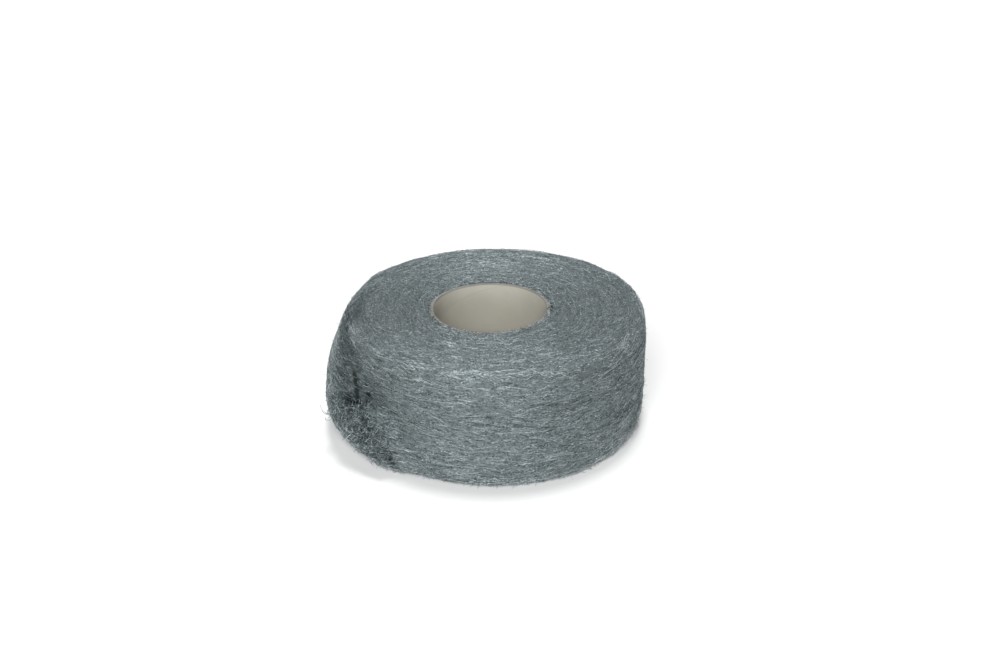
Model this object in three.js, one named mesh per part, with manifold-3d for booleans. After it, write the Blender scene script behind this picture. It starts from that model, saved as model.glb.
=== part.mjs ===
import * as THREE from 'three';
import { mergeVertices } from 'three/addons/utils/BufferGeometryUtils.js';
import Module from 'manifold-3d';

// Steel wool roll: one long ribbon of matted steel fibres wound on a cardboard core. It stands
// on its end, and the torn outer end of the ribbon has worked loose from the turn below it.
// Millimetres, +Z up. The origin is on the floor, under the middle of the roll's outline.
// A ribbon angle runs along the winding from the core outwards, in radians.

// Ribbon: its width is the height of the roll
const ribbonWidth = 100;
const turnPitch = 7.9;
const turnsWound = 9.62;
const seamDepth = 1.2;

// Core tube
const coreBore = 89.6;
const coreWall = 3.2;
const coreRecess = 3.1;
const coreEdge = 0.5;
const coreClearance = 0.3;

// Outer form of the winding: the top is dished towards the core, and both edges are rounded
const topDish = 2.5;
const shoulderReach = 8.8;
const shoulderDrop = 13;
const footReach = 8.5;
const footRise = 29;
const slackOffset = 3.8;
const slackHeading = THREE.MathUtils.degToRad(-15);

// Loose end, its torn line: where it stops, how far it slants, and its rounded upper corner
const endHeading = THREE.MathUtils.degToRad(221);
const endSlant = THREE.MathUtils.degToRad(26);
const endRipple = THREE.MathUtils.degToRad(1.2);
const ripples = 1.5;
const cornerDrop = 30;
const cornerReach = THREE.MathUtils.degToRad(58);

// Loose end, its sheet: it stands out most at its belly, and its edges tuck back in
const looseSpan = THREE.MathUtils.degToRad(73);
const looseCrest = 0.58;
const endSettle = 0.4;
const looseRise = 12.3;
const looseGap = 4;
const edgeSink = 2.4;
const bellyHeight = 28;
const topTuck = 21.5;
const footTuck = 9.5;
const leastSheet = 1.5;
const edgeSlip = 0.9;
const rootDepth = 3.2;
const rootSink = 0.6;
const rootOverlap = THREE.MathUtils.degToRad(9);
const lipShare = 0.14;
const lipPinch = 0.34;

// Facets
const columnsPerTurn = 80;
const rowsPerTurn = 4;
const wallRows = 3;
const footRows = 4;
const sheetRows = 8;
const shoulderRows = 5;
const endColumns = 22;
const coreColumns = 72;

const turn = 2 * Math.PI;
const coreRadius = coreBore / 2 + coreWall;
const coreLength = ribbonWidth - coreRecess;
const innerRadius = coreRadius + coreClearance;
const endAngle = turnsWound * turn;
const rootAngle = endAngle - looseSpan;
const startHeading = endHeading - endAngle;
const columnStep = turn / columnsPerTurn;

// Outer radius of the ribbon at a ribbon angle. The turns sag to one side as the roll grows.
function windingRadius(angle) {
  if (angle <= 0) {
    return innerRadius;
  }
  const sag = slackOffset * (angle / endAngle) ** 2;
  const heading = startHeading + angle;
  return innerRadius + turnPitch * angle / turn + sag * Math.cos(heading - slackHeading);
}

// A quarter of an ellipse: 0 at share 0 and 1 at share 1, flat at first and steep at last
function quarter(share) {
  const inside = THREE.MathUtils.clamp(share, 0, 1);
  return 1 - Math.sqrt(1 - inside * inside);
}

// How far the wall stands in from its widest radius, at a height
function wallInset(height) {
  const shoulder = (height - ribbonWidth + shoulderDrop) / shoulderDrop;
  const foot = (footRise - height) / footRise;
  return shoulderReach * quarter(shoulder) + footReach * quarter(foot);
}

function at(radius, angle, height) {
  const heading = startHeading + angle;
  return new THREE.Vector3(radius * Math.cos(heading), radius * Math.sin(heading), height);
}

// Triangles between two rows of points, as a flat list of corners
function strip(first, second) {
  const corners = [];
  for (let i = 0; i + 1 < first.length; i += 1) {
    corners.push(first[i], second[i], second[i + 1]);
    corners.push(first[i], second[i + 1], first[i + 1]);
  }
  return corners;
}

function fan(centre, rim) {
  const corners = [];
  for (let i = 0; i + 1 < rim.length; i += 1) {
    corners.push(centre, rim[i], rim[i + 1]);
  }
  return corners;
}

function closed(loop) {
  return [...loop, loop[0]];
}

// A welded geometry from corners, without the triangles that have shrunk to a line
function weld(corners) {
  const loose = new THREE.BufferGeometry().setFromPoints(corners);
  const welded = mergeVertices(loose, 1e-3);
  const index = welded.getIndex().array;
  const kept = [];
  for (let i = 0; i < index.length; i += 3) {
    const [a, b, c] = index.slice(i, i + 3);
    if (a !== b && b !== c && c !== a) {
      kept.push(a, b, c);
    }
  }
  welded.setIndex(kept);
  return welded;
}

// The winding without its loose end. Column 0 is the root of the loose end, and each next
// column lies one step further back along the ribbon. Past the ribbon's start, columns have
// no thickness. Column 0 and the column one turn below it share a heading.
function windingGeometry() {
  const columnCount = Math.ceil(rootAngle / columnStep);
  const angleOf = (column) => rootAngle - column * columnStep;
  const outline = (column) => windingRadius(angleOf(column % columnsPerTurn));

  // Top of one turn at one column, from the turn below it outwards: a crown between two seams
  function crown(column) {
    const from = windingRadius(angleOf(column + columnsPerTurn));
    const to = windingRadius(angleOf(column));
    const widest = outline(column);
    const fullness = Math.min(1, (to - from) / turnPitch);
    const points = [];
    for (let row = 0; row <= rowsPerTurn; row += 1) {
      const across = row / rowsPerTurn;
      const radius = THREE.MathUtils.lerp(from, to, across);
      const bulge = seamDepth * fullness * (1 - (2 * across - 1) ** 2);
      const dish = topDish * (widest - radius) / (widest - innerRadius);
      const drop = shoulderDrop * quarter(1 - (widest - radius) / shoulderReach);
      points.push(at(radius, angleOf(column), ribbonWidth - seamDepth - dish - drop + bulge));
    }
    return points;
  }

  // Outer wall at one column, from the edge of the crown down to the floor
  function wall(column, top) {
    const points = [top];
    for (let row = 1; row <= wallRows; row += 1) {
      const height = THREE.MathUtils.lerp(top.z, footRise, row / wallRows);
      points.push(at(outline(column), angleOf(column), height));
    }
    for (let row = 1; row <= footRows; row += 1) {
      const height = footRise * (1 - Math.sin(row / footRows * Math.PI / 2));
      points.push(at(outline(column) - wallInset(height), angleOf(column), height));
    }
    return points;
  }

  const crowns = [];
  for (let column = 0; column <= columnCount; column += 1) {
    crowns.push(crown(column));
  }
  const walls = [];
  const bores = [];
  for (let column = 0; column < columnsPerTurn; column += 1) {
    const innermost = columnCount - (columnCount - column) % columnsPerTurn;
    const edge = crowns[innermost][0];
    walls.push(wall(column, crowns[column][rowsPerTurn]));
    bores.push([new THREE.Vector3(edge.x, edge.y, 0), edge]);
  }

  const corners = [];
  for (let column = 0; column < columnCount; column += 1) {
    corners.push(...strip(crowns[column], crowns[column + 1]));
  }
  corners.push(...fan(crowns[columnsPerTurn - 1][rowsPerTurn], crowns[0]));
  closed(walls).slice(1).forEach((next, i) => corners.push(...strip(walls[i], next)));
  closed(bores).slice(1).forEach((next, i) => corners.push(...strip(bores[i], next)));
  closed(bores).slice(1).forEach((next, i) => {
    const nextWall = walls[(i + 1) % columnsPerTurn];
    corners.push(...strip([walls[i].at(-1), bores[i][0]], [nextWall.at(-1), next[0]]));
  });
  return weld(corners);
}

// The loose end: a sheet that leaves the winding at its root, lifts off the turn below it and
// thins to a slanted, torn lip. Its edges still cling to the roll, so it lifts most at its belly,
// and past its crest it settles back.
function looseEndGeometry() {
  const heights = [];
  for (let row = 0; row <= footRows; row += 1) {
    heights.push(footRise * (1 - Math.cos(row / footRows * Math.PI / 2)));
  }
  const shoulderStart = ribbonWidth - shoulderDrop;
  for (let row = 1; row <= sheetRows; row += 1) {
    heights.push(THREE.MathUtils.lerp(footRise, shoulderStart, row / sheetRows));
  }
  const shoulderEnd = Math.PI / 2 - Math.PI / 10;
  for (let row = 1; row <= shoulderRows; row += 1) {
    heights.push(shoulderStart + shoulderDrop * Math.sin(row / shoulderRows * shoulderEnd));
  }

  const sheetStart = rootAngle - rootOverlap;
  const crestAngle = THREE.MathUtils.lerp(sheetStart, endAngle, looseCrest);

  function standOff(height) {
    if (height > bellyHeight) {
      return looseRise - topTuck * ((height - bellyHeight) / (ribbonWidth - bellyHeight)) ** 2;
    }
    return looseRise - footTuck * (1 - height / bellyHeight) ** 2;
  }

  function tornAngle(height) {
    const up = height / ribbonWidth;
    const ripple = endRipple * Math.sin(ripples * turn * up);
    const intoCorner = Math.max(0, height - ribbonWidth + cornerDrop) / cornerDrop;
    const corner = cornerReach * intoCorner * intoCorner;
    return endAngle + endSlant * (0.5 - up) + ripple - corner;
  }

  function section(along) {
    const lip = lipPinch * quarter((along - 1 + lipShare) / lipShare);
    const outer = [];
    const inner = [];
    for (const height of heights) {
      const angle = THREE.MathUtils.lerp(sheetStart, tornAngle(height), along);
      const open = THREE.MathUtils.smoothstep(angle, sheetStart, crestAngle);
      const past = Math.max(0, angle - crestAngle) / (endAngle - crestAngle);
      const lift = open - endSettle * past * past;
      const inset = wallInset(height);
      const edge = (2 * height / ribbonWidth - 1) ** 4;
      const gap = THREE.MathUtils.lerp(looseGap, -edgeSink, edge);
      const rise = THREE.MathUtils.lerp(-rootSink, standOff(height), lift);
      const clear = THREE.MathUtils.lerp(-rootDepth, gap, open);
      const outside = windingRadius(angle) - inset + rise;
      const below = windingRadius(angle - turn) - inset + clear;
      const inside = Math.min(below, outside - leastSheet);
      const pinch = lip * (outside - inside);
      const level = height * (1 - edgeSlip / ribbonWidth);
      outer.push(at(outside - pinch, angle, level));
      inner.push(at(inside + pinch, angle, level));
    }
    return [...outer, ...inner.reverse()];
  }

  const sections = [];
  for (let column = 0; column <= endColumns; column += 1) {
    sections.push(section(column / endColumns));
  }
  const corners = [];
  for (let column = 0; column < endColumns; column += 1) {
    corners.push(...strip(closed(sections[column]), closed(sections[column + 1])));
  }
  const count = heights.length;
  const root = sections[0];
  const lip = sections[endColumns];
  corners.push(...strip(root.slice(count).reverse(), root.slice(0, count)));
  corners.push(...strip(lip.slice(0, count), lip.slice(count).reverse()));
  return weld(corners);
}

function coreGeometry() {
  const bore = coreBore / 2;
  const profile = [
    new THREE.Vector2(bore + coreEdge, 0),
    new THREE.Vector2(coreRadius - coreEdge, 0),
    new THREE.Vector2(coreRadius, coreEdge),
    new THREE.Vector2(coreRadius, coreLength - coreEdge),
    new THREE.Vector2(coreRadius - coreEdge, coreLength),
    new THREE.Vector2(bore + coreEdge, coreLength),
    new THREE.Vector2(bore, coreLength - coreEdge),
    new THREE.Vector2(bore, coreEdge),
  ];
  return new THREE.LatheGeometry(closed(profile), coreColumns).rotateX(Math.PI / 2);
}

const wasm = await Module();
wasm.setup();

function solid(geometry) {
  const vertProperties = Float32Array.from(geometry.getAttribute('position').array);
  const triVerts = Uint32Array.from(geometry.getIndex().array);
  return new wasm.Manifold(new wasm.Mesh({ numProp: 3, vertProperties, triVerts }));
}

function joined(first, second) {
  const mesh = solid(first).add(solid(second)).getMesh();
  const geometry = new THREE.BufferGeometry();
  geometry.setAttribute('position', new THREE.BufferAttribute(mesh.vertProperties, 3));
  geometry.setIndex(new THREE.BufferAttribute(mesh.triVerts, 1));
  geometry.computeVertexNormals();
  return geometry;
}

function part(name, geometry, finish) {
  const mesh = new THREE.Mesh(geometry, new THREE.MeshStandardMaterial(finish));
  mesh.name = name;
  return mesh;
}

const steelWool = { color: 0x7d888b, roughness: 0.55, metalness: 0.9 };
const cardboard = { color: 0xa8a597, roughness: 0.9, metalness: 0 };

const roll = new THREE.Group();
roll.add(part('wool_roll', joined(windingGeometry(), looseEndGeometry()), steelWool));
roll.add(part('core_tube', coreGeometry(), cardboard));

const middle = new THREE.Box3().setFromObject(roll, true).getCenter(new THREE.Vector3());
roll.position.set(-middle.x, -middle.y, 0);

export default roll;
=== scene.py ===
# %% [markdown]
# # A roll of steel wool
# The real thing is one wide ribbon of matted steel fibres, wound on a cardboard tube and stood on
# its end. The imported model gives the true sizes: a plain wound solid and a plain tube. This lesson
# keeps those sizes and makes the looks: a matted body, thousands of combed fibres, a frayed loose
# end and a paper core.

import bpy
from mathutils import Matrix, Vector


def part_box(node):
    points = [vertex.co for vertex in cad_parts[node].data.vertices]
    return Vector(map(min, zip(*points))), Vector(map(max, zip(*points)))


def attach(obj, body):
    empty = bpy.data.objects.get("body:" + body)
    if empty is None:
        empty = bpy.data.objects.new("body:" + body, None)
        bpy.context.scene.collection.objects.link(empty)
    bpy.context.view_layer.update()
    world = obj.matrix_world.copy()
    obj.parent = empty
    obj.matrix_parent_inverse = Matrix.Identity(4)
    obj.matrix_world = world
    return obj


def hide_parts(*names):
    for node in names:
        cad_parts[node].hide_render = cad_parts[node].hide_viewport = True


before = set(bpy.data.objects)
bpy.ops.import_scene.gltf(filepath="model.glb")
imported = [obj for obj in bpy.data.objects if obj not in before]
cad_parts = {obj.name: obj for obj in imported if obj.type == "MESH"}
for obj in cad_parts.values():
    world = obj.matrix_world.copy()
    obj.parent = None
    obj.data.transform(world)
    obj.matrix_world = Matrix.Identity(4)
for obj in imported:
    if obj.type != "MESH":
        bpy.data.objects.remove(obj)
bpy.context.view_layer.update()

# %% [markdown]
# ## Measure before modelling
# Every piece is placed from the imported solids. The core's box gives the axis that the ribbon winds
# about, because the loose end makes the roll's own box lopsided. Lengths are written in millimetres
# and turned into Blender's metres by one factor.

# %% Measurements
import math

import bpy
import numpy as np
from mathutils import Vector
from mathutils.bvhtree import BVHTree

MM = 0.001
core_low, core_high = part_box("core_tube")
axis = Vector(((core_low.x + core_high.x) / 2, (core_low.y + core_high.y) / 2, 0))
core_radius = (core_high.x - core_low.x) / 2
core_top = core_high.z
print("Winding axis:", tuple(axis), "core radius:", core_radius, "core top:", core_top)

# %% [markdown]
# ## The camera
# The photograph looks down on the roll at about 27 degrees with a normal lens, and the roll sits a
# little low in the frame. Lens shift puts it there without tilting the verticals. The photograph
# leans by a fraction of a degree, so the camera is turned about its own axis by as much.

# %% Camera
IMAGE_WIDTH = 1000
FOCAL_PIXELS = 1456
SENSOR = 36
CAMERA_DISTANCE = 1170.7 * MM
ELEVATION = math.radians(27.1)
LEAN = math.radians(-0.68)
SHIFT = (0.0061, 0.0277)
LOOK_OFFSET = Vector((2.63, 0.9, 48.8)) * MM


def added(operator, **settings):
    """The object that an operator adds, with nothing else selected."""
    bpy.ops.object.select_all(action="DESELECT")
    operator(**settings)
    return bpy.context.object


camera = added(bpy.ops.object.camera_add)
camera.data.sensor_width = SENSOR
camera.data.lens = FOCAL_PIXELS * SENSOR / IMAGE_WIDTH
camera.data.shift_x, camera.data.shift_y = SHIFT
backwards = Vector((0, -math.cos(ELEVATION), math.sin(ELEVATION)))
camera.location = axis + LOOK_OFFSET + backwards * CAMERA_DISTANCE
camera.rotation_euler = (-backwards).to_track_quat("-Z", "Y").to_euler()
camera.rotation_euler.rotate_axis("Z", LEAN)
bpy.context.scene.camera = camera
print("Lens in mm:", camera.data.lens)

# %% [markdown]
# ## Small helpers
# Operators act on whatever is selected, so each step first selects just one object. Modifiers are
# applied at once, because the finished piece should be a plain mesh.

# %% Selection, modifiers and corners
def select_only(piece):
    bpy.ops.object.select_all(action="DESELECT")
    piece.select_set(True)
    bpy.context.view_layer.objects.active = piece


def apply_modifier(piece, kind, **settings):
    select_only(piece)
    modifier = piece.modifiers.new(kind.title(), kind)
    for name, value in settings.items():
        setattr(modifier, name, value)
    bpy.ops.object.modifier_apply(modifier=modifier.name)


def corners_of(piece):
    places = np.empty(len(piece.data.vertices) * 3)
    piece.data.vertices.foreach_get("co", places)
    return places.reshape(-1, 3)


def move_corners(piece, places):
    piece.data.vertices.foreach_set("co", places.ravel())
    piece.data.update()


def paint_corners(mesh, name, values):
    """A number on each corner of a mesh, for a material to read."""
    mesh.attributes.new(name, "FLOAT", "POINT")
    mesh.attributes[name].data.foreach_set("value", np.ascontiguousarray(values, dtype=np.float32))


def triangles_of(piece):
    return sum(len(face.vertices) - 2 for face in piece.data.polygons)


# %% [markdown]
# ## Winding coordinates
# Fibres run along the ribbon, so relief and colour follow the winding too. A point is described by
# its place round the axis and its place across the ribbon. A UV map could hold these, but it would
# show a seam where the angle starts again, so round the axis is kept as a point on a circle. Across
# runs out along the top and then down the wall, so one number serves both.

# %% Winding coordinates
REFERENCE_RADIUS = 120 * MM


def from_axis(places):
    """Level vectors from the winding axis to the places."""
    return places[:, :2] - np.array(axis[:2])


def axis_distance(places):
    return np.linalg.norm(from_axis(places), axis=1)


def winding_places(places, along, across):
    """Places round and across the ribbon, counted in lengths along and widths across."""
    radius = axis_distance(places)
    circle = from_axis(places) / radius[:, None] * REFERENCE_RADIUS / along
    return np.column_stack([circle, (radius - places[:, 2]) / across])


def spot_at(heading, radius, level):
    return axis + Vector((math.cos(heading) * radius, math.sin(heading) * radius, level))


# %% [markdown]
# ## Soft noise
# Matted fibre drifts and lumps at random, but never jumps. Python reads Blender's own noise one point
# at a time, so this small noise works on whole arrays. Its seed makes it the same in each run.

# %% Soft noise
NOISE_HEIGHTS = 4093
NOISE_STRIDES = np.array([73, 911, 2179])


def eased(share):
    """A share held between 0 and 1, which starts and stops softly."""
    share = np.clip(share, 0, 1)
    return share * share * (3 - 2 * share)


def soft_noise(places, seed):
    """A smooth random height from -1 to 1 at each place, with one lump in each unit cell."""
    heights = np.random.default_rng(seed).uniform(-1, 1, NOISE_HEIGHTS)
    cell = np.floor(places).astype(np.int64)
    share = eased(places - cell)
    total = np.zeros(len(places))
    for step in np.ndindex(2, 2, 2):
        pick = ((cell + np.array(step)) @ NOISE_STRIDES) % NOISE_HEIGHTS
        weight = np.where(step, share, 1 - share).prod(axis=1)
        total += heights[pick] * weight
    return total


# %% [markdown]
# ## Find the torn lip
# The ribbon's loose end stops at a slanted torn line. Its place could be typed in, but would go wrong
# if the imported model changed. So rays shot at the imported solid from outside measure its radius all
# round, and where that radius drops most from one heading to the next, there is the lip.

# %% Torn lip
LIP_HEADINGS = np.radians(np.arange(150, 246, 0.75))
LIP_HEIGHTS = np.arange(3, 91, 2) * MM
RAY_START = 200 * MM
LOOK_AHEAD = 3


def tree_of(piece):
    return BVHTree.FromObject(piece, bpy.context.evaluated_depsgraph_get())


def outer_radius(tree, heading, height):
    """Distance from the axis to the outer face at a heading and a height."""
    outward = Vector((math.cos(heading), math.sin(heading), 0))
    start = axis + outward * RAY_START + Vector((0, 0, height))
    hit = tree.ray_cast(start, -outward)[0]
    return (hit.xy - axis.xy).length


mat = bpy.data.objects.new("wool_mat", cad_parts["wool_roll"].data.copy())
bpy.context.collection.objects.link(mat)
solid_tree = tree_of(mat)
lip_heading = []
lip_radius = []
for height in LIP_HEIGHTS:
    radii = np.array([outer_radius(solid_tree, heading, height) for heading in LIP_HEADINGS])
    last = int(np.argmax(radii[:-LOOK_AHEAD] - radii[LOOK_AHEAD:]))
    lip_heading.append(LIP_HEADINGS[last])
    lip_radius.append(radii[last])
print("Lip heading, low and high:", math.degrees(lip_heading[0]), math.degrees(lip_heading[-1]))

# %% [markdown]
# ## A wedge of pulled fibres
# The middle of the lip stands clear of the roll. Elsewhere it has been dragged along, so its fibres
# still cling to the turn below and hide the step. That slope could be sculpted. Here a grid is laid
# by rule from under the lip down to the wall, with a bay for the gap, and thickened inwards.

# %% Gap and crease along the lip
GAP_LOW, GAP_HIGH = 46 * MM, 82 * MM
GAP_FADE = 12 * MM


def in_gap(level):
    """1 at the heights where the lip stands clear, fading to 0 above and below."""
    return eased((level - GAP_LOW) / GAP_FADE) * eased((GAP_HIGH - level) / GAP_FADE)


def above_gap(level):
    """1 above the gap, where only a crease parts the lip from the turn below."""
    return eased((level - GAP_HIGH) / GAP_FADE + 1)


# %% Wedge under the lip
WEDGE_TOP = 88 * MM
WEDGE_BACK = 6 * MM
WEDGE_RUN = 26 * MM
WEDGE_SINK = 0.8 * MM
WEDGE_DEPTH = 14 * MM
WEDGE_STEPS = (22, 48)
GAP_OPEN = 0.7
CREASE_OPEN = 0.5


def wedge_spot(share_along, share_up):
    """A corner of the wedge, from its shares of the way along the ribbon and up the lip."""
    past = share_along * (WEDGE_BACK + WEDGE_RUN) - WEDGE_BACK
    level = LIP_HEIGHTS[0] + share_up * (WEDGE_TOP - LIP_HEIGHTS[0])
    heading = np.interp(level, LIP_HEIGHTS, lip_heading) + past / REFERENCE_RADIUS
    brink = np.interp(level, LIP_HEIGHTS, lip_radius)
    if past < 0:
        return spot_at(heading, brink - 2 * WEDGE_SINK, level)
    wall = min(brink, outer_radius(solid_tree, heading, level))
    filled = (1 - GAP_OPEN * in_gap(level)) * (1 - CREASE_OPEN * above_gap(level))
    filled *= 1 - eased(past / WEDGE_RUN)
    return spot_at(heading, wall + (brink - wall) * filled - WEDGE_SINK, level)


columns, rows = WEDGE_STEPS
wedge = added(bpy.ops.mesh.primitive_grid_add, x_subdivisions=columns, y_subdivisions=rows, size=1)
shares = corners_of(wedge) + 0.5
places = np.array([wedge_spot(along, up) for along, up, _ in shares])
move_corners(wedge, places)
facing = np.array([face.normal for face in wedge.data.polygons])[:, :2].mean(axis=0)
faces_out = facing @ from_axis(places).mean(axis=0) > 0
apply_modifier(wedge, "SOLIDIFY", thickness=WEDGE_DEPTH, offset=-1 if faces_out else 1)
print("Wedge triangles:", triangles_of(wedge))

# %% [markdown]
# ## The matted body
# The body is what lies under the loose fibres: a dense felt with the turns, the rounded shoulders
# and the lifted end of the ribbon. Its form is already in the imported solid. Subdividing that solid
# would keep its long thin triangles, so a copy is merged, joined with the wedge, remeshed into even
# small faces and smoothed.

# %% Matted body
VOXEL = 1.75 * MM
MERGE = 0.01 * MM

select_only(mat)
bpy.ops.object.mode_set(mode="EDIT")
bpy.ops.mesh.select_all(action="SELECT")
bpy.ops.mesh.remove_doubles(threshold=MERGE)
bpy.ops.object.mode_set(mode="OBJECT")
wedge.select_set(True)
bpy.ops.object.join()
apply_modifier(mat, "REMESH", mode="VOXEL", voxel_size=VOXEL, use_smooth_shade=True)
apply_modifier(mat, "SMOOTH", factor=0.5, iterations=4)
print("Matted body triangles:", triangles_of(mat))

# %% [markdown]
# ## Where the end is torn
# Near the lip the ribbon has been pulled apart: it frays, lies in half shade, and parts from the turn
# below in a crease with one deep pocket beside the gap. These places could be painted by hand. Here
# each is a rule that gives any place a share from 0 to 1, so the felt and its fibres can both ask it.

# %% Distance behind the lip
WALL_DEPTH = 20 * MM


def behind_lip(places):
    """How far each place lies behind the torn lip along the ribbon; past the lip it is negative."""
    flat = from_axis(places)
    heading = np.arctan2(flat[:, 1], flat[:, 0]) % math.tau
    lip = np.interp(places[:, 2], LIP_HEIGHTS, lip_heading)
    return (lip - heading) * axis_distance(places)


def outside_wall(places):
    """True near the outer wall, which is where the loose end lies."""
    return axis_distance(places) > REFERENCE_RADIUS - WALL_DEPTH


# %% Frayed and shaded parts
FRAY_REACH = 34 * MM
FRAY_PAST = 9 * MM
FRAY_LOW, FRAY_HIGH = 18 * MM, 60 * MM
FRAY_LEAST = 0.12
SHADE_RISE = 22 * MM
SHADE_REACH = 60 * MM
SHADE_LOW, SHADE_FADE = 14 * MM, 34 * MM


def frayed(places):
    """1 where the ribbon is pulled apart, fading to 0 round it."""
    behind = behind_lip(places)
    along = eased(2 * (FRAY_REACH - behind) / FRAY_REACH) * eased(1 + behind / FRAY_PAST)
    height = places[:, 2]
    rise = eased(height / FRAY_LOW) * eased((FRAY_HIGH - height) / FRAY_LOW)
    return along * (FRAY_LEAST + (1 - FRAY_LEAST) * rise) * outside_wall(places)


def shaded(places):
    """1 on the loose end itself, which lies in half shade and shows its dark depth."""
    behind = behind_lip(places)
    along = eased(behind / SHADE_RISE + 1) * eased((SHADE_REACH - behind) / SHADE_REACH)
    return along * eased((places[:, 2] - SHADE_LOW) / SHADE_FADE) * outside_wall(places)


# %% Crease, pocket and crevice
TORN_GRAIN = 7 * MM
PIT_SEED = 5
PIT_LEVEL = 0.35
CREASE_WIDTH = 2.8 * MM
CREASE_EDGE = 1.3
CREASE_TOP = 88 * MM
CREASE_UPPER, CREASE_LOWER = 0.6, 0.8
POCKET_BACK, POCKET_RUN = 8 * MM, 9 * MM
POCKET_HEIGHT, POCKET_RISE = 54 * MM, 7 * MM
POCKET_EDGE = 1.2
CREVICE_WIDTH = 2.6 * MM


def torn_pits(places):
    """Lumps and pits, from 1 to -1, of the size that the tear has left."""
    return soft_noise(places / TORN_GRAIN, PIT_SEED)


def creased(places):
    """1 in the crease just past the lip: all along its upper part, in patches below the gap."""
    height = places[:, 2]
    middle = np.abs(behind_lip(places) + CREASE_WIDTH / 2) / CREASE_WIDTH
    upper = CREASE_UPPER * above_gap(height) * eased((CREASE_TOP - height) / FRAY_LOW)
    clear = np.maximum(in_gap(height), upper)
    patchy = np.clip(PIT_LEVEL - torn_pits(places), 0, 1) * (1 - above_gap(height))
    depth = clear + CREASE_LOWER * (1 - clear) * patchy
    return eased(CREASE_EDGE - middle) * depth * outside_wall(places)


def pocketed(places):
    """1 in the pocket that the tear has left beside the gap, fading to 0 round it."""
    along = (behind_lip(places) - POCKET_BACK) / POCKET_RUN
    rise = (places[:, 2] - POCKET_HEIGHT) / POCKET_RISE
    return eased(POCKET_EDGE - np.hypot(along, rise)) * outside_wall(places)


def by_crevice(places):
    """1 in the thin crevice where the winding meets the core, where shade is painted, fading to 0 just
    outside it.
    """
    return eased(1 - (axis_distance(places) - core_radius) / CREVICE_WIDTH)


# %% [markdown]
# ## Relief
# Felt is never smooth. Its corners are pushed in and out by noise that is stretched along the
# winding, and coarse and deep where the end is torn. A Displace modifier could push them, but its
# textures can't follow the winding. Pits, pocket, crease, the hollows between turns and the crevice by
# the core are painted dark as shade, for the material to read.

# %% Hollows between the turns
def hollows(piece, rounds=2):
    """How far each corner lies below the mean of its neighbours, in metres."""
    edges = np.array([edge.vertices for edge in piece.data.edges])
    places = corners_of(piece)
    near = np.zeros(len(places))
    np.add.at(near, edges.ravel(), 1)

    def mean_round(values):
        total = np.zeros_like(values)
        np.add.at(total, edges[:, 0], values[edges[:, 1]])
        np.add.at(total, edges[:, 1], values[edges[:, 0]])
        return total / near.reshape((-1,) + (1,) * (values.ndim - 1))

    normals = np.array([corner.normal for corner in piece.data.vertices])
    depth = ((mean_round(places) - places) * normals).sum(axis=1)
    for _ in range(rounds):
        depth = (depth + mean_round(depth)) / 2
    return depth


# %% Relief of the felt and of the torn end
BROAD_LUMP = (0.6 * MM, 34 * MM, 9 * MM)
FINE_LUMP = (0.45 * MM, 12 * MM, 3.2 * MM)
TORN_LUMP = 3.2 * MM
POCKET_DEPTH = 3 * MM
HOLLOW_DEPTH = 0.16 * MM
FLOOR_HOLD = 3 * MM
# Painted shade: how dark the pits, the crease, the half-shaded end and the hollows between turns get.
PIT_DARK, PIT_CONTRAST = 0.75, 1.3
CREASE_DARK, SHADE_DARK, HOLLOW_SHADE_DARK = 0.85, 0.25, 0.75

places = corners_of(mat)
normals = np.array([corner.normal for corner in mat.data.vertices])
torn = frayed(places)
pits = torn_pits(places)
pocket = pocketed(places)
push = np.zeros(len(places))
for seed, (height, along, across) in enumerate((BROAD_LUMP, FINE_LUMP)):
    push += height * soft_noise(winding_places(places, along, across), seed)
push += TORN_LUMP * torn * (pits - PIT_LEVEL)
push -= POCKET_DEPTH * pocket
hollow_shade = eased(hollows(mat) / HOLLOW_DEPTH)
# Painted shade on the corners: pits, crease, half-shaded end, hollows between turns, pocket and core
# crevice.
dark = torn * np.clip(PIT_DARK - PIT_CONTRAST * pits, 0, 1) + CREASE_DARK * creased(places)
dark += SHADE_DARK * shaded(places) + HOLLOW_SHADE_DARK * hollow_shade + pocket + by_crevice(places)
paint_corners(mat.data, "dark", np.clip(dark, 0, 1))
held = np.clip(places[:, 2] / FLOOR_HOLD, 0, 1)
move_corners(mat, places + normals * (push * held)[:, None])
select_only(mat)
bpy.ops.object.shade_smooth()
body_tree = tree_of(mat)
print("Relief in mm, deepest and highest:", push.min() / MM, push.max() / MM)

# %% [markdown]
# ## One fibre, copied thousands of times
# A steel fibre is shaved off a wire, so it is roughly three-sided. Blender's hair would be quick, but
# a part needs meshes. So one straight fibre is modelled: a triangle, extruded ring by ring and closed
# at both ends. Each copy bends along a path of its own, and gets its own cell of a map, so that no
# fibre's baked finish paints over another's.

# %% Fibre template
SIDES = 3
CAP_SHARE = 0.08


def fibre_template(steps):
    """A straight closed fibre: each corner's ring and place in the section, its faces and its map."""
    fibre = added(bpy.ops.mesh.primitive_circle_add, vertices=SIDES, radius=1, fill_type="NGON")
    bpy.ops.object.mode_set(mode="EDIT")
    for _ in range(steps):
        bpy.ops.mesh.extrude_region_move(TRANSFORM_OT_translate={"value": (0, 0, 1)})
    bpy.ops.mesh.select_all(action="SELECT")
    bpy.ops.mesh.normals_make_consistent(inside=False)
    bpy.ops.object.mode_set(mode="OBJECT")
    places = corners_of(fibre)
    faces = [tuple(face.vertices) for face in fibre.data.polygons]
    bpy.data.objects.remove(fibre)
    ring = np.rint(places[:, 2]).astype(int)
    turn = np.arctan2(places[:, 1], places[:, 0]) / math.tau * SIDES
    side = np.rint(turn - turn[0]).astype(int) % SIDES
    cell = np.array([spot for face in faces for spot in face_cell(face, ring, side, steps)])
    return ring, places[:, :2], faces, cell


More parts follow.
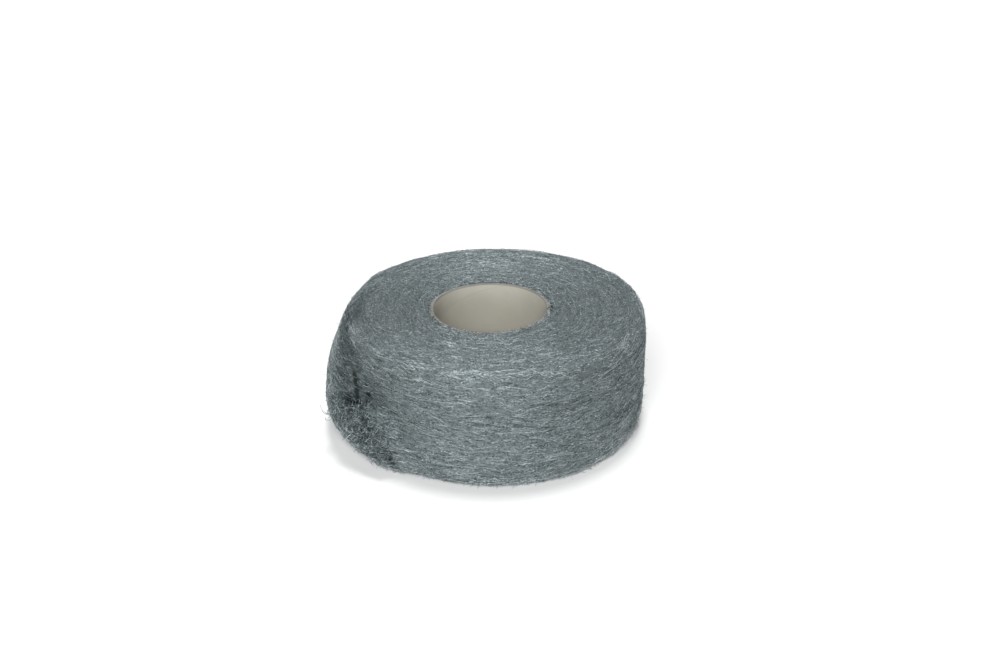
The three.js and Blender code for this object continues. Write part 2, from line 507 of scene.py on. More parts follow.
def face_cell(face, ring, side, steps):
    """Where the corners of one face lie in the fibre's cell of the map."""
    if len(face) == SIDES and len({ring[i] for i in face}) == 1:
        start = 0 if ring[face[0]] == 0 else 1 - CAP_SHARE / 2
        return [(start + CAP_SHARE / 2 * (side[i] == 1), side[i] / SIDES) for i in face]
    around = {side[i] for i in face}
    first = next(s for s in around if (s + 1) % SIDES in around)
    spots = []
    for i in face:
        along = CAP_SHARE + (1 - 2 * CAP_SHARE) * ring[i] / steps
        spots.append((along, (first + (side[i] != first)) / SIDES))
    return spots


# %% Copies along paths
FIBRE_TIP = 0.35
TINY = 1e-12


def unit(vectors):
    return vectors / (np.linalg.norm(vectors, axis=-1, keepdims=True) + TINY)


def tapered(steps):
    """Thickness of a fibre from end to end: full in the middle, thin at the tips."""
    share = np.linspace(-1, 1, steps + 1)
    return FIBRE_TIP + (1 - FIBRE_TIP) * np.sqrt(1 - share ** 2)


def fibre_corners(paths, outward, thickness, ring, section):
    """The template's corners, carried along each path."""
    along = unit(np.gradient(paths, axis=1))
    side = unit(np.cross(along, outward))
    up = np.cross(side, along)
    radius = thickness[:, None] / 2 * tapered(paths.shape[1] - 1)
    offset = side[:, ring] * section[:, 0, None] + up[:, ring] * section[:, 1, None]
    return paths[:, ring] + offset * radius[:, ring, None]


def copied_mesh(name, corners, faces):
    """One mesh with a copy of the template's faces for each row of corners."""
    count, size, _ = corners.shape
    loops = np.concatenate([np.array(face) for face in faces])
    starts = np.concatenate([[0], np.cumsum([len(face) for face in faces])[:-1]])
    copies = np.arange(count)[:, None]
    mesh = bpy.data.meshes.new(name)
    mesh.vertices.add(count * size)
    mesh.loops.add(count * len(loops))
    mesh.polygons.add(count * len(faces))
    mesh.vertices.foreach_set("co", corners.ravel())
    mesh.loops.foreach_set("vertex_index", (copies * size + loops).ravel())
    mesh.polygons.foreach_set("loop_start", (copies * len(loops) + starts).ravel())
    mesh.update(calc_edges=True)
    return mesh


# %% A piece of many fibres
MAP_NAME = "OFBake"
CELL_MARGIN = 0.06


def map_cells(count, cell):
    """A square cell of the map for each fibre, filled by the template's own map."""
    cells_across = math.ceil(math.sqrt(count))
    origin = np.column_stack([np.arange(count) % cells_across, np.arange(count) // cells_across])
    spots = origin[:, None, :] + CELL_MARGIN + (1 - 2 * CELL_MARGIN) * cell[None, :, :]
    return spots / cells_across


def fibres(name, paths, outward, thickness, tone):
    """One piece of closed fibres. A path has one point for each ring."""
    ring, section, faces, cell = fibre_template(paths.shape[1] - 1)
    mesh = copied_mesh(name, fibre_corners(paths, outward, thickness, ring, section), faces)
    paint_corners(mesh, "tone", np.repeat(tone, len(ring)))
    spots = map_cells(len(paths), cell)
    mesh.uv_layers.new(name=MAP_NAME).data.foreach_set("uv", spots.ravel())
    piece = bpy.data.objects.new(name, mesh)
    bpy.context.collection.objects.link(piece)
    select_only(piece)
    bpy.ops.object.shade_smooth()
    print(name, "fibres:", len(paths), "triangles:", triangles_of(piece))
    return piece


# %% [markdown]
# ## Combing
# On the real roll the fibres lie along the ribbon, matted into their neighbours. They could be combed
# by hand, but a rule does it evenly: a fibre starts at a random spot of the body and steps along the
# winding, and after each step it is put back on the nearest point of the body. So it follows the
# shoulders and the loose end by itself.

# %% Paths over the body
SWAY_STEP = 1.4


def comb(seeds, steps, length, heading, sway, phase):
    """Paths over the body and the body's outward normals along them."""
    paths = np.empty((len(seeds), steps + 1, 3))
    outward = np.empty_like(paths)
    for i, seed in enumerate(seeds):
        point = Vector(seed)
        step = length[i] / steps
        for ring in range(steps + 1):
            point, normal, _, _ = body_tree.find_nearest(point)
            paths[i, ring] = point
            outward[i, ring] = normal
            along = Vector((axis.y - point.y, point.x - axis.x, 0))
            along = (along - normal * along.dot(normal)).normalized()
            angle = heading[i] + sway[i] * math.sin(phase[i] + SWAY_STEP * ring)
            drift = along * math.cos(angle) + normal.cross(along) * math.sin(angle)
            point = point + drift * step
    return paths, outward


def face_spots(chosen, count, rng):
    """Random spots on the chosen faces of the body, evenly spread by area."""
    faces = [face for face in mat.data.polygons if chosen(face.center, face.normal)]
    area = np.array([face.area for face in faces])
    centres = np.array([face.center for face in faces])
    pick = rng.choice(len(faces), count, p=area / area.sum())
    return centres[pick] + rng.uniform(-0.5, 0.5, (count, 3)) * VOXEL


# %% [markdown]
# ## How light a fibre is
# Most fibres are mid grey, and a few are painted pale as glints that catch the light. Painted shade
# makes them darker on the shaded end, in the fray, the pocket and the crevice by the core. A painted
# highlight makes them paler on the upper shoulder, and painted light bounced from the floor at the
# foot. Each grey could have a material, but one tone for each fibre holds all that, and one material
# reads it.

# %% Tones of fibres
MEAN_TONE, TONE_SPREAD = 0.42, 0.17
BRIGHT_SHARE, BRIGHT_LIFT = 0.14, 0.4
# Painted shade: how much darker fibres get on the shaded end, in the fray, the pocket and the core
# crevice.
SHADE_DEPTH = 0.3
FRAY_DEPTH = 0.3
POCKET_SHADE = 0.3
CREVICE_SHADE = 0.4
# Painted light: bounce from the floor at the foot, and a highlight on the upper shoulder.
FOOT_BOUNCE_LIGHT, FOOT_HEIGHT = 0.35, 12 * MM
SHOULDER_HIGHLIGHT = 0.17
SHOULDER_LOW, SHOULDER_FADE = 55 * MM, 20 * MM
SHOULDER_WALL, SHOULDER_TOP, SHOULDER_SOFT = 0.1, 0.95, 0.3


def fibre_tones(count, rng):
    """Mostly mid greys, with a few strands painted pale as glints."""
    bright = rng.random(count) < BRIGHT_SHARE
    return np.clip(rng.normal(MEAN_TONE, TONE_SPREAD, count) + BRIGHT_LIFT * bright, 0, 1)


def shoulder(places, normals):
    """1 on the rounded upper shoulder, where a highlight is painted, fading to 0 on the top and the wall.
    """
    upward = normals[:, 2]
    over_wall = eased((upward - SHOULDER_WALL) / SHOULDER_SOFT)
    under_top = eased((SHOULDER_TOP - upward) / SHOULDER_SOFT)
    return over_wall * under_top * eased((places[:, 2] - SHOULDER_LOW) / SHOULDER_FADE)


def combed_tones(seeds, normals, contrast, rng):
    """Tones by chance, with painted shade and light by place; contrast is how far they may differ by
    chance.
    """
    chance = fibre_tones(len(seeds), rng) - MEAN_TONE
    # Painted shade by place, then painted bounce light at the foot and a painted highlight on the
    # shoulder.
    tone = MEAN_TONE + chance * contrast - SHADE_DEPTH * shaded(seeds)
    tone -= FRAY_DEPTH * np.maximum(frayed(seeds), creased(seeds)) + POCKET_SHADE * pocketed(seeds)
    tone += FOOT_BOUNCE_LIGHT * eased(1 - seeds[:, 2] / FOOT_HEIGHT) - CREVICE_SHADE * by_crevice(seeds)
    return tone + SHOULDER_HIGHLIGHT * shoulder(seeds, normals) * (1 - shaded(seeds))


# %% [markdown]
# ## Nap and strands
# Short fibres give the nap, and a few hundred long strands give the lines along the winding.
# Neighbours share a slow drift, and each sways a little by itself. The middle of a fibre arches up
# while its tips tuck in. Beside the gap the fibres are combed backward, so that none bridges it, and
# in the pocket and the crease they sink out of sight.

# %% Combed fibres
FIBRE_FLOOR = 0.3 * MM
TUCK = 0.12
SUNK_DEPTH = 1.1
GAP_KEEP, GAP_SHARE = 11 * MM, 0.3
DRIFT_PATCH = (16 * MM, 8 * MM)
DRIFT_GAIN = 1.6
LEAST_SWAY = 0.2


def combed_backward(seeds):
    """A half turn, in degrees, for the fibres that would bridge the gap."""
    behind = behind_lip(seeds)
    by_gap = (in_gap(seeds[:, 2]) > GAP_SHARE) & (behind > 0) & (behind < GAP_KEEP)
    return np.where(by_gap & outside_wall(seeds), 180, 0)


def combed_fibres(
    name, chosen, count, seed, steps, length, thickness, drift, spread, sway, arch, contrast=1.0
):
    """Fibres combed over one side of the roll; drift, spread and sway are in degrees."""
    rng = np.random.default_rng(seed)
    seeds = face_spots(chosen, count, rng)
    shared = soft_noise(winding_places(seeds, *DRIFT_PATCH), seed)
    own = rng.normal(0, 1, count)
    reach = rng.uniform(*length, count) * MM
    heading = np.radians(drift * DRIFT_GAIN * shared + spread * own + combed_backward(seeds))
    swing = rng.uniform(LEAST_SWAY, 1, count) * math.radians(sway)
    phase = rng.uniform(0, math.tau, count)
    paths, outward = comb(seeds, steps, reach, heading, swing, phase)
    hump = np.sin(np.linspace(0, math.pi, steps + 1))
    sunk = SUNK_DEPTH * np.maximum(pocketed(seeds), creased(seeds))
    rise = rng.uniform(*arch, count)[:, None] * hump - TUCK - sunk[:, None]
    paths = paths + outward * (rise * MM)[:, :, None]
    paths[:, :, 2] = np.maximum(paths[:, :, 2], FIBRE_FLOOR)
    thick = rng.uniform(*thickness, count) * MM
    tone = combed_tones(seeds, outward[:, 0], contrast, rng)
    return fibres(name, paths, outward, thick, tone)


# %% Fibres of the wall
WALL_RADIUS = 90 * MM
WALL_TILT = 0.75


def on_wall(centre, normal):
    return abs(normal.z) < WALL_TILT and (centre.xy - axis.xy).length > WALL_RADIUS


wool_pieces = [
    combed_fibres(
        "wall_fibres_a", on_wall, 14000, seed=11, steps=2, length=(3, 8), thickness=(0.3, 0.56),
        drift=12, spread=13, sway=20, arch=(0.1, 0.6),
    ),
    combed_fibres(
        "wall_fibres_b", on_wall, 7000, seed=12, steps=4, length=(7, 17), thickness=(0.26, 0.5),
        drift=9, spread=9, sway=16, arch=(0.15, 0.7),
    ),
    combed_fibres(
        "wall_strands", on_wall, 700, seed=16, steps=8, length=(18, 40), thickness=(0.3, 0.46),
        drift=9, spread=6, sway=6, arch=(0.5, 1.1), contrast=1.3,
    ),
]

# %% Fibres of the top and the base
TOP_TILT = 0.5


def on_top(centre, normal):
    return normal.z >= TOP_TILT


def on_base(centre, normal):
    return normal.z <= -WALL_TILT


wool_pieces += [
    combed_fibres(
        "top_fibres_a", on_top, 13500, seed=13, steps=2, length=(3, 7), thickness=(0.26, 0.46),
        drift=12, spread=30, sway=24, arch=(0, 0.3), contrast=0.45,
    ),
    combed_fibres(
        "top_fibres_b", on_top, 2300, seed=15, steps=4, length=(8, 18), thickness=(0.24, 0.4),
        drift=8, spread=12, sway=14, arch=(0.05, 0.4), contrast=0.6,
    ),
    combed_fibres(
        "top_strands", on_top, 260, seed=17, steps=8, length=(14, 32), thickness=(0.24, 0.38),
        drift=8, spread=7, sway=9, arch=(0.1, 0.45), contrast=0.7,
    ),
    combed_fibres(
        "base_fibres", on_base, 700, seed=14, steps=3, length=(10, 20), thickness=(0.3, 0.5),
        drift=16, spread=14, sway=16, arch=(0, 0.2),
    ),
]

# %% [markdown]
# ## Free curls and strays
# Some fibres leave the felt. At the torn end they spring into tight curls; elsewhere a few strays
# stand off, which is what makes the outline fuzzy. Curves could be drawn for them one by one. Here
# both are free paths: each step turns the heading a little about an axis that itself wanders, which
# draws loops and lazy arcs.

# %% Free paths
def turned(vectors, about, angle):
    """Vectors turned about unit axes by angles."""
    cosine = np.cos(angle)[:, None]
    along = (vectors * about).sum(axis=1, keepdims=True) * about
    return vectors * cosine + np.cross(about, vectors) * np.sin(angle)[:, None] + along * (1 - cosine)


def free_paths(starts, heading, about, steps, length, bend, wander, rng, lowest=FIBRE_FLOOR):
    """Free paths of the given lengths; bend is the radius of each one's arc."""
    count = len(starts)
    step = length / steps
    paths = np.empty((count, steps + 1, 3))
    outward = np.empty_like(paths)
    paths[:, 0] = starts
    for ring in range(steps):
        outward[:, ring] = about
        paths[:, ring + 1] = paths[:, ring] + heading * step[:, None]
        about = unit(about + rng.normal(0, wander, (count, 3)))
        heading = unit(turned(heading, about, step / bend))
    outward[:, steps] = about
    paths[:, :, 2] = np.maximum(paths[:, :, 2], lowest)
    return paths, outward


def round_the_axis(places):
    """Unit vectors outwards and along the winding at each place."""
    flat = places - np.array(axis)
    flat[:, 2] = 0
    outwards = unit(flat)
    return outwards, np.cross((0, 0, 1), outwards)


# %% [markdown]
# ## The frayed end
# The curls start on the loose end, close behind its lip, in clumps. They are thickest just below the
# pocket, and run from nearly black to mid grey, with a few painted pale as glints.

# %% Spots for the curls
CLUMP_COUNT = 24
CLUMP_SIZE = 3.6 * MM
CURL_HEIGHTS = (19 * MM, 46 * MM)
CURL_BACK, CURL_PAST = 28 * MM, 8 * MM
CURL_SINK = 0.4 * MM
TUFT_BACK, TUFT_HEIGHT = 44 * MM, 32 * MM


def lip_spots(count, rng):
    """Spots in clumps round the lower lip, with one tuft of them far behind it."""
    low, high = CURL_HEIGHTS
    clump_height = low + (high - low) * np.sqrt(rng.random(CLUMP_COUNT))
    clump_back = rng.uniform(-CURL_PAST, CURL_BACK, CLUMP_COUNT)
    clump_height[0] = TUFT_HEIGHT
    clump_back[0] = TUFT_BACK
    clump = rng.integers(CLUMP_COUNT, size=count)
    height = np.maximum(clump_height[clump] + rng.normal(0, CLUMP_SIZE, count), LIP_HEIGHTS[0])
    back = clump_back[clump] + rng.normal(0, CLUMP_SIZE, count)
    lip = np.interp(height, LIP_HEIGHTS, lip_heading)
    spots = []
    for level, heading in zip(height, lip - back / REFERENCE_RADIUS):
        radius = outer_radius(body_tree, heading, level) - CURL_SINK
        spots.append(spot_at(heading, radius, level))
    return np.array(spots)


# %% Curls at the torn lip
CURL_COUNT = 800
CURL_SEED = 21
CURL_STEPS = 10
CURL_STAND, CURL_FOLLOW, CURL_SCATTER = (0.1, 0.8), (-0.5, 1), 0.7
CURL_LENGTH, CURL_BEND, CURL_WANDER = (7, 18), (2.2, 4.8), 0.14
CURL_THICKNESS = (0.36, 0.66)
CURL_LIFT = -0.18

rng = np.random.default_rng(CURL_SEED)
starts = lip_spots(CURL_COUNT, rng)
outwards, along = round_the_axis(starts)
stand = rng.uniform(*CURL_STAND, (CURL_COUNT, 1))
follow = rng.uniform(*CURL_FOLLOW, (CURL_COUNT, 1))
scatter = rng.normal(0, CURL_SCATTER, (CURL_COUNT, 3))
heading = unit(outwards * stand + along * follow + scatter)
about = unit(np.cross(heading, rng.normal(0, 1, (CURL_COUNT, 3))))
length = rng.uniform(*CURL_LENGTH, CURL_COUNT) * MM
bend = rng.uniform(*CURL_BEND, CURL_COUNT) * MM
paths, outward = free_paths(starts, heading, about, CURL_STEPS, length, bend, CURL_WANDER, rng)
thick = rng.uniform(*CURL_THICKNESS, CURL_COUNT) * MM
tone = fibre_tones(CURL_COUNT, rng) + CURL_LIFT
wool_pieces.append(fibres("lip_curls", paths, outward, thick, tone))

# %% [markdown]
# ## Strays
# Strays stand off all over the roll. At the foot they droop to the floor, and round the core they lie
# inward over its cut rim, so that the rim shows only as a thin soft line.

# %% Stray fibres
STRAY_STEPS = 4
STRAY_SCATTER, STRAY_WANDER = 0.35, 0.15
STRAY_THICKNESS = (0.18, 0.3)


def strays(name, chosen, count, seed, length, bend, lean, down=0, inward=0, lowest=FIBRE_FLOOR):
    """Single fibres that stand off the body; lean is how far they tilt away from it."""
    rng = np.random.default_rng(seed)
    starts = face_spots(chosen, count, rng)
    near = [body_tree.find_nearest(Vector(start)) for start in starts]
    normals = np.array([found[1] for found in near])
    outwards, along = round_the_axis(starts)
    way = rng.choice([-1, 1], (count, 1))
    tilt = normals * rng.uniform(*lean, (count, 1))
    heading = along * way + tilt + rng.normal(0, STRAY_SCATTER, (count, 3))
    heading = unit(unit(heading) - np.array([0, 0, down]) - outwards * inward)
    about = unit(np.cross(heading, rng.normal(0, 1, (count, 3))))
    reach = rng.uniform(*length, count) * MM
    arc = rng.uniform(*bend, count) * MM
    paths, outward = free_paths(starts, heading, about, STRAY_STEPS, reach, arc, STRAY_WANDER, rng, lowest)
    thick = rng.uniform(*STRAY_THICKNESS, count) * MM
    return fibres(name, paths, outward, thick, fibre_tones(count, rng))


# %% Strays over the roll, the foot and the core's rim
FOOT_BAND, FOOT_TILT = 7 * MM, -0.9
RIM_BAND, RIM_TILT = 3.5 * MM, 0.3
OVER_RIM = core_top + 0.2 * MM


def at_foot(centre, normal):
    low = centre.z < FOOT_BAND and normal.z > FOOT_TILT
    return low and (centre.xy - axis.xy).length > WALL_RADIUS


def by_core(centre, normal):
    return normal.z > RIM_TILT and (centre.xy - axis.xy).length < core_radius + RIM_BAND


wool_pieces += [
    strays("wall_strays", on_wall, 1100, seed=31, length=(2, 6), bend=(1.5, 5), lean=(0.1, 0.6)),
    strays("top_strays", on_top, 650, seed=32, length=(2, 5), bend=(1.5, 4), lean=(0.1, 0.6)),
    strays(
        "foot_strays", at_foot, 700, seed=33, length=(2, 5.5), bend=(1.5, 5), lean=(0.2, 0.9), down=0.35
    ),
    strays(
        "long_strays", at_foot, 10, seed=35, length=(14, 24), bend=(8, 20), lean=(0.2, 0.5), down=0.2
    ),
    strays(
        "rim_strays", by_core, 1100, seed=34, length=(3, 6), bend=(4, 12), lean=(0, 0.15),
        down=0.1, inward=0.7, lowest=OVER_RIM,
    ),
]

# %% [markdown]
# ## The core
# The core is a paper tube: thin plies glued in a spiral, then cut square. A cylinder with a hole cut
# through it would do, but a tube is more quickly made from its inner face: a circle is extruded up
# into a wall, thickened outwards, and its cut edges are softened by a small bevel. The cut is never
# quite true, so the rim gets a slight wave.

# %% Core tube
CORE_WALL = 3.2 * MM
CORE_SEGMENTS = 144
CORE_RINGS = 8
RIM_BEVEL = 0.35 * MM

core = added(
    bpy.ops.mesh.primitive_circle_add,
    vertices=CORE_SEGMENTS, radius=core_radius - CORE_WALL, location=axis, fill_type="NOTHING",
)
core.name = "paper_core"
bpy.ops.object.transform_apply(location=True)
bpy.ops.object.mode_set(mode="EDIT")
bpy.ops.mesh.select_all(action="SELECT")
for _ in range(CORE_RINGS):
    rise = (0, 0, core_top / CORE_RINGS)
    bpy.ops.mesh.extrude_region_move(TRANSFORM_OT_translate={"value": rise})
bpy.ops.mesh.select_all(action="SELECT")
bpy.ops.mesh.normals_make_consistent(inside=False)
bpy.ops.object.mode_set(mode="OBJECT")
apply_modifier(core, "SOLIDIFY", thickness=CORE_WALL, offset=1)
apply_modifier(core, "BEVEL", width=RIM_BEVEL, segments=2, limit_method="ANGLE")
print("Core triangles:", triangles_of(core))

# %% Waved rim
RIM_WAVE = 0.18 * MM
RIM_DEPTH = 4 * MM
LONG_WAVES, SHORT_WAVES = 3, 7
SHORT_SHARE = 0.6

places = corners_of(core)
rim = np.clip((places[:, 2] - core_top + RIM_DEPTH) / RIM_DEPTH, 0, 1)
round_core = np.arctan2(places[:, 1] - axis.y, places[:, 0] - axis.x)
wave = np.sin(LONG_WAVES * round_core) + SHORT_SHARE * np.sin(SHORT_WAVES * round_core + 1) - 1
places[:, 2] += RIM_WAVE * rim * wave
move_corners(core, places)
select_only(core)
bpy.ops.object.shade_smooth_by_angle(angle=math.radians(35))
print("Core height in mm, with the wave:", places[:, 2].max() / MM)

# %% [markdown]
# ## Writing shader maths as sums
# A node tree is easier to read as arithmetic. A Wire wraps one socket; adding or multiplying wires
# adds Math nodes. Every other node comes from the method node, which sets the node's settings first
# and then its sockets.

# %% Wires and nodes
class Wire:
    def __init__(self, tree, socket=None):
        self.tree = tree
        self.socket = socket

    def node(self, kind, settings=None, sockets=None, out=0):
        made = self.tree.nodes.new("ShaderNode" + kind)
        for name, value in (settings or {}).items():
            if name == "stops":
                ramp = made.color_ramp
                while len(ramp.elements) < len(value):
                    ramp.elements.new(1)
                for element, (place, colour) in zip(ramp.elements, value):
                    element.position = place
                    element.color = colour
            else:
                setattr(made, name, value)
        for name, value in (sockets or {}).items():
            if isinstance(value, Wire):
                self.tree.links.new(value.socket, made.inputs[name])
            else:
                made.inputs[name].default_value = value
        return Wire(self.tree, made.outputs[out] if made.outputs else None)

    def maths(self, operation, *terms):
        return self.node("Math", {"operation": operation}, dict(enumerate(terms)))

    def __add__(self, other):
        return self.maths("ADD", self, other)

    def __sub__(self, other):
        return self.maths("SUBTRACT", self, other)

    def __rsub__(self, other):
        return self.maths("SUBTRACT", other, self)

    def __mul__(self, other):
        return self.maths("MULTIPLY", self, other)

    def __truediv__(self, other):
        return self.maths("DIVIDE", self, other)

    __radd__ = __add__


# %% Helpers for finishes
def new_material(name):
    """An empty material, and a wire to start its nodes from."""
    material = bpy.data.materials.new(name)
    material.use_nodes = True
    material.node_tree.nodes.clear()
    return material, Wire(material.node_tree)


def finish_with(start, shader):
    start.node("OutputMaterial", None, {"Surface": shader})


def mixed(start, share, first, second):
    """A colour between two colours or colour wires."""
    sockets = {0: share, 6: first, 7: second}
    return start.node("Mix", {"data_type": "RGBA"}, sockets, out=2)


def sharpened(start, value, low, high):
    """The value stretched so that low becomes 0 and high becomes 1."""
    sockets = {"Value": value, "From Min": low, "From Max": high}
    return start.node("MapRange", None, sockets)


def wear(piece, material):
    piece.data.materials.clear()
    piece.data.materials.append(material)
    print(piece.name, "wears", material.name, "nodes:", len(material.node_tree.nodes))


# %% [markdown]
# ## Steel wool
# Bare steel fibres are grey with a cold cast. Seen from afar they blur into streaks along the
# winding, with dark gaps between them. The body gets these streaks as colour, roughness and bump;
# the streaks are the fibres' own pattern, and the colour is darker where the bump is low, as painted
# shade in the gaps.
# Plain noise has no direction, so the streak noise is read in winding coordinates, and a second slow
# noise bends the streaks so that they never look ruled.

# %% Streaks along the winding
SWAY_GRAIN, SWAY_WIDTH = 9 * MM, 4 * MM


def winding_wires(start):
    """The place, cosine and sine of the angle round the core, and the place across the ribbon."""
    place = start.node("TexCoord", out="Object")
    middle = {0: place, 1: (axis.x, axis.y, 0)}
    centred = start.node("VectorMath", {"operation": "SUBTRACT"}, middle)
    parts = start.node("SeparateXYZ", None, {0: centred})
    x, y, z = (Wire(start.tree, socket) for socket in parts.socket.node.outputs)
    radius = start.maths("SQRT", x * x + y * y)
    return place, x / radius, y / radius, radius - z


def seeded_noise(start, seed, sockets):
    return start.node("TexNoise", {"noise_dimensions": "4D"}, {"W": seed, **sockets})


def streaks(start, wires, along, across, seed):
    """Noise stretched along the winding, from 0 to 1."""
    place, cosine, sine, crossways = wires
    sway = seeded_noise(start, seed, {"Vector": place, "Scale": 1 / SWAY_GRAIN, "Detail": 1.0})
    bent = crossways + (sway - 0.5) * SWAY_WIDTH
    turns = REFERENCE_RADIUS / along
    parts = {0: cosine * turns, 1: sine * turns, 2: bent / across}
    vector = start.node("CombineXYZ", None, parts)
    sockets = {"Vector": vector, "Scale": 1.0, "Detail": 2.0, "Roughness": 0.6}
    return seeded_noise(start, seed, sockets)


# %% Steel wool on the body
PAINTED_SHADE_BLACK = (0.012, 0.017, 0.018, 1)
STEEL_DARK = (0.054, 0.079, 0.082, 1)
STEEL_MID = (0.337, 0.389, 0.4, 1)
STREAK_LOW, STREAK_HIGH = 0.34, 0.66
COARSE_STREAK = (5 * MM, 1.4 * MM, 1.0)
FINE_STREAK = (2.2 * MM, 0.7 * MM, 7.0)
FELT_BUMP = 0.9 * MM


def steel_wool_body():
    material, start = new_material("steel_wool_body")
    wires = winding_wires(start)
    coarse, fine = (
        sharpened(start, streaks(start, wires, *streak), STREAK_LOW, STREAK_HIGH)
        for streak in (COARSE_STREAK, FINE_STREAK)
    )
    height = coarse * 0.5 + fine * 0.5
    # The 'dark' corners carry painted shade, which mixes the felt towards near black.
    dark = start.node("Attribute", {"attribute_name": "dark"}, out="Fac")
    # The felt is darker where the streak bump is low, as painted shade in the gaps between fibres.
    felt = mixed(start, height, STEEL_DARK, STEEL_MID)
    bump = start.node("Bump", None, {"Strength": 0.9, "Distance": FELT_BUMP, "Height": height})
    sockets = {
        "Base Color": mixed(start, dark, felt, PAINTED_SHADE_BLACK),
        "Metallic": 0.75,
        "Roughness": 0.6 - height * 0.16,
        "Normal": bump,
    }
    finish_with(start, start.node("BsdfPrincipled", None, sockets))
    return material


wear(mat, steel_wool_body())

# %% [markdown]
# ## A single fibre's finish
# A fibre takes its grey from its own tone, which carries painted shade and light, from patches as
# wide as a finger and from a fine weave of painted light and shade along it, where neighbours cross
# and hide it. A ramp turns that lightness into dark, middle and pale steel, and bright fibres are a
# little smoother.

# %% Steel on the fibres
STEEL_PALE = (0.74, 0.8, 0.81, 1)
PATCH_GRAIN, PATCH_DEPTH = 9 * MM, 0.4
WEAVE_GRAIN, WEAVE_DEPTH = 1.4 * MM, 1.7


def steel_fibre():
    material, start = new_material("steel_fibre")
    tone = start.node("Attribute", {"attribute_name": "tone"}, out="Fac")
    place = start.node("TexCoord", out="Object")
    patch, weave = (
        start.node("TexNoise", None, {"Vector": place, "Scale": 1 / grain, "Detail": 1.0})
        for grain in (PATCH_GRAIN, WEAVE_GRAIN)
    )
    # Tones carry painted shade and light; the weave paints light and shade where neighbours cross.
    lightness = tone + (patch - 0.5) * PATCH_DEPTH + (weave - 0.5) * WEAVE_DEPTH
    stops = [(0.0, STEEL_DARK), (0.5, STEEL_MID), (1.0, STEEL_PALE)]
    colour = start.node("ValToRGB", {"stops": stops}, {"Fac": lightness})
    sockets = {"Base Color": colour, "Metallic": 0.8, "Roughness": 0.64 - tone * 0.1}
    finish_with(start, start.node("BsdfPrincipled", None, sockets))
    return material


fibre_finish = steel_fibre()
for piece in wool_pieces:
    wear(piece, fibre_finish)

# %% [markdown]
# ## Cardboard
# The paper is grey-brown with faint flecks and long soft stains, and the edge of one spiral ply
# shows as a thin line. Deep in the tube, on the inner wall that faces the viewer, shade is painted in
# as a greyer colour, and the cut rim, which faces up into the light, is painted darker as shade. One
# colour would look like plastic, so each of these is laid over the last.

# %% Cardboard on the core
PAPER_DEEP = (0.43, 0.41, 0.35, 1)
PAPER_PALE = (0.48, 0.465, 0.41, 1)
PAPER_SHADE_GREY = (0.265, 0.25, 0.207, 1)
RIM_SHADE = (0.235, 0.236, 0.218, 1)
PLY_LINE = (0.36, 0.34, 0.29, 1)
STAIN_SCALE, FLECK_SCALE = 45.0, 900.0
STAIN_SHARE, FLECK_SHARE = 0.7, 0.3
SHADE_FROM, SHADE_TO = 0.35, 0.65
GREY_LOW, GREY_HIGH = 35 * MM, 90 * MM
GREY_SIDE, GREY_BACK = 0.0, 0.85
RIM_FROM, RIM_FULL = core_top - 1.4 * MM, core_top - 0.7 * MM
PLY_RISE = 74 * MM
PLY_WIDTH = 0.012
PLY_SHARE, PLY_HEIGHT = 0.35, 0.8
PAPER_BUMP = 0.2 * MM


def ply_line(start, cosine, sine, height):
    """1 on the thin spiral line where the edge of a ply shows."""
    turns = start.maths("ARCTAN2", sine, cosine) / math.tau + height / PLY_RISE
    off_line = start.maths("ABSOLUTE", start.maths("FRACT", turns + 1) - 0.5)
    return sharpened(start, off_line, PLY_WIDTH, 0.0)


def cardboard():
    material, start = new_material("cardboard")
    place, cosine, sine, _ = winding_wires(start)
    stain = start.node("TexNoise", None, {"Vector": place, "Scale": STAIN_SCALE, "Detail": 3.0})
    fleck = start.node("TexNoise", None, {"Vector": place, "Scale": FLECK_SCALE, "Detail": 2.0})
    shade = sharpened(start, stain * STAIN_SHARE + fleck * FLECK_SHARE, SHADE_FROM, SHADE_TO)
    height = start.node("SeparateXYZ", None, {0: place}, out=2)
    line = ply_line(start, cosine, sine, height)
    # Painted shade deep in the tube, on the inner wall that faces the viewer.
    deep = sharpened(start, height, GREY_HIGH, GREY_LOW)
    deep_shade = deep * sharpened(start, sine, GREY_SIDE, GREY_BACK)
    paper = mixed(start, deep_shade, mixed(start, shade, PAPER_DEEP, PAPER_PALE), PAPER_SHADE_GREY)
    plies = mixed(start, line * PLY_SHARE, paper, PLY_LINE)
    # The cut rim faces up into the light, so it is painted darker, as shade.
    colour = mixed(start, sharpened(start, height, RIM_FROM, RIM_FULL), plies, RIM_SHADE)
    relief = {"Strength": 0.3, "Distance": PAPER_BUMP, "Height": fleck - line * PLY_HEIGHT}
    bump = start.node("Bump", None, relief)
    sockets = {"Base Color": colour, "Roughness": 0.82 + fleck * 0.12, "Normal": bump}
    finish_with(start, start.node("BsdfPrincipled", None, sockets))
    return material


wear(core, cardboard())

# %% [markdown]
# ## Riding on the body
# The roll is one rigid body, so every piece rides on it. The felt stands for the wound solid and the
# paper tube for the plain tube, which are then hidden.

# %% Ride and replace
for piece in (mat, *wool_pieces):
    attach(piece, "root")
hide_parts("wool_roll")
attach(core, "root")
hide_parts("core_tube")
print("Added triangles:", sum(triangles_of(piece) for piece in (mat, core, *wool_pieces)))

# %% [markdown]
# ## Floor
# The photograph has a white sweep. White paint that is lit to pure white would lose the roll's
# shadow, so the floor is pale paint, lifted a little for rays from the eye and from shiny things.

# %% Floor
FLOOR_SIZE = 40
FLOOR_PAINT = (0.86, 0.86, 0.86, 1)
FLOOR_LIFT = 0.04
WHITE = (1, 1, 1, 1)


def seen(start):
    """1 for rays from the camera and for mirrored or bent ones, 0 for the light's own paths."""
    kinds = ("Is Camera Ray", "Is Glossy Ray", "Is Transmission Ray")
    camera_ray, glossy_ray, bent_ray = (start.node("LightPath", out=kind) for kind in kinds)
    return start.maths("MINIMUM", camera_ray + glossy_ray + bent_ray, 1)


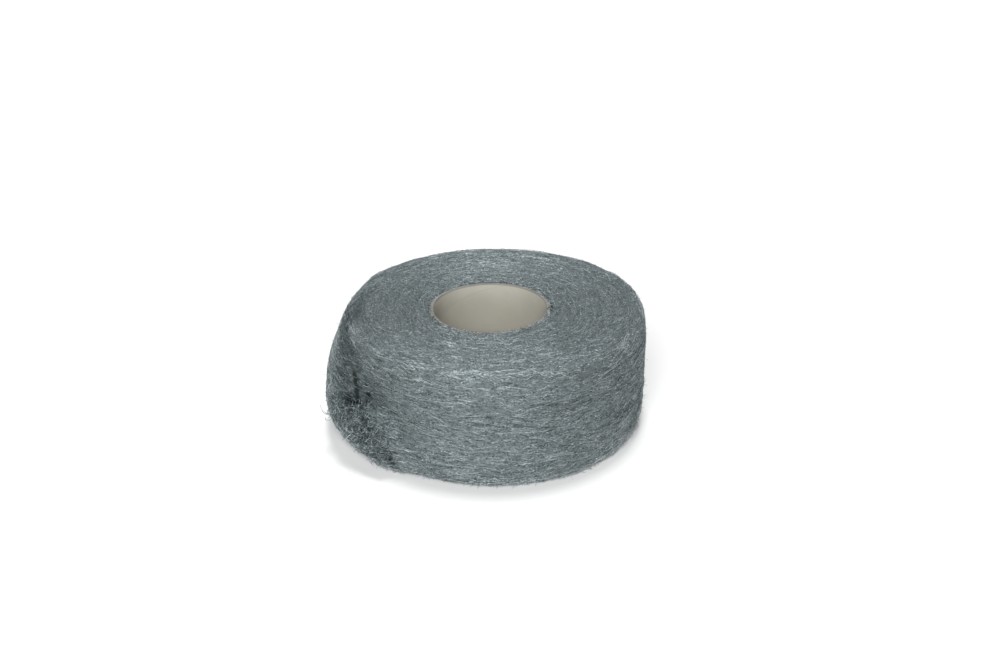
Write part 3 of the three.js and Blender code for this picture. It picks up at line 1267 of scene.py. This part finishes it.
floor = added(bpy.ops.mesh.primitive_plane_add, size=FLOOR_SIZE)
floor.name = "floor"
material, start = new_material("floor_paint")
glow = start.node("Emission", None, {"Color": WHITE, "Strength": seen(start) * FLOOR_LIFT})
paint = start.node("BsdfDiffuse", None, {"Color": FLOOR_PAINT})
finish_with(start, start.node("AddShader", None, {0: paint, 1: glow}))
wear(floor, material)

# %% [markdown]
# ## World
# Steel shows what stands round it. The world is a white wall all round under a dim ceiling, so the
# fibres have something dark to mirror. The wall is dimmer on the right, which gives the roll a shaded
# side.

# %% World
WORLD_GLOW = 0.12
WALL_EDGE, CEILING_EDGE = 0.12, 0.3
DIM_SIDE = 0.75
DIM_FROM, DIM_FULL = 0.1, 0.6

world = bpy.data.worlds.new("studio")
bpy.context.scene.world = world
world.use_nodes = True
world.node_tree.nodes.clear()
start = Wire(world.node_tree)
direction = start.node("TexCoord", out="Generated")
rightward = start.node("SeparateXYZ", None, {0: direction}, out=0)
upward = start.node("SeparateXYZ", None, {0: direction}, out=2)
wall = sharpened(start, upward, CEILING_EDGE, WALL_EDGE) * (1 - WORLD_GLOW)
strength = wall * (1 - sharpened(start, rightward, DIM_FROM, DIM_FULL) * DIM_SIDE) + WORLD_GLOW
sky = start.node("Background", None, {"Color": WHITE, "Strength": strength})
start.node("OutputWorld", None, {"Surface": sky})
print("World nodes:", len(world.node_tree.nodes))

# %% [markdown]
# ## Lamps
# A broad key shines from the viewer's side, and a top light leans in from behind, which lays the soft
# shadow towards the viewer. Area lamps would light the floor unevenly, so both are suns with a wide
# disc.

# %% Lamps
def sun(name, heading, height, disc, level):
    """A soft sun, by angles in degrees; level is how bright it makes white paper that faces it."""
    made = added(bpy.ops.object.light_add, type="SUN")
    made.name = name
    made.data.angle = math.radians(disc)
    made.data.energy = level * math.pi
    heading, height = math.radians(heading), math.radians(height)
    flat = math.cos(height)
    towards = Vector((math.cos(heading) * flat, math.sin(heading) * flat, math.sin(height)))
    made.rotation_euler = towards.to_track_quat("Z", "Y").to_euler()
    print("Sun", name, "energy:", made.data.energy)


sun("key", heading=263, height=39, disc=30, level=0.92)
sun("top", heading=75, height=83, disc=14, level=0.48)
bpy.context.scene.view_settings.view_transform = "Standard"
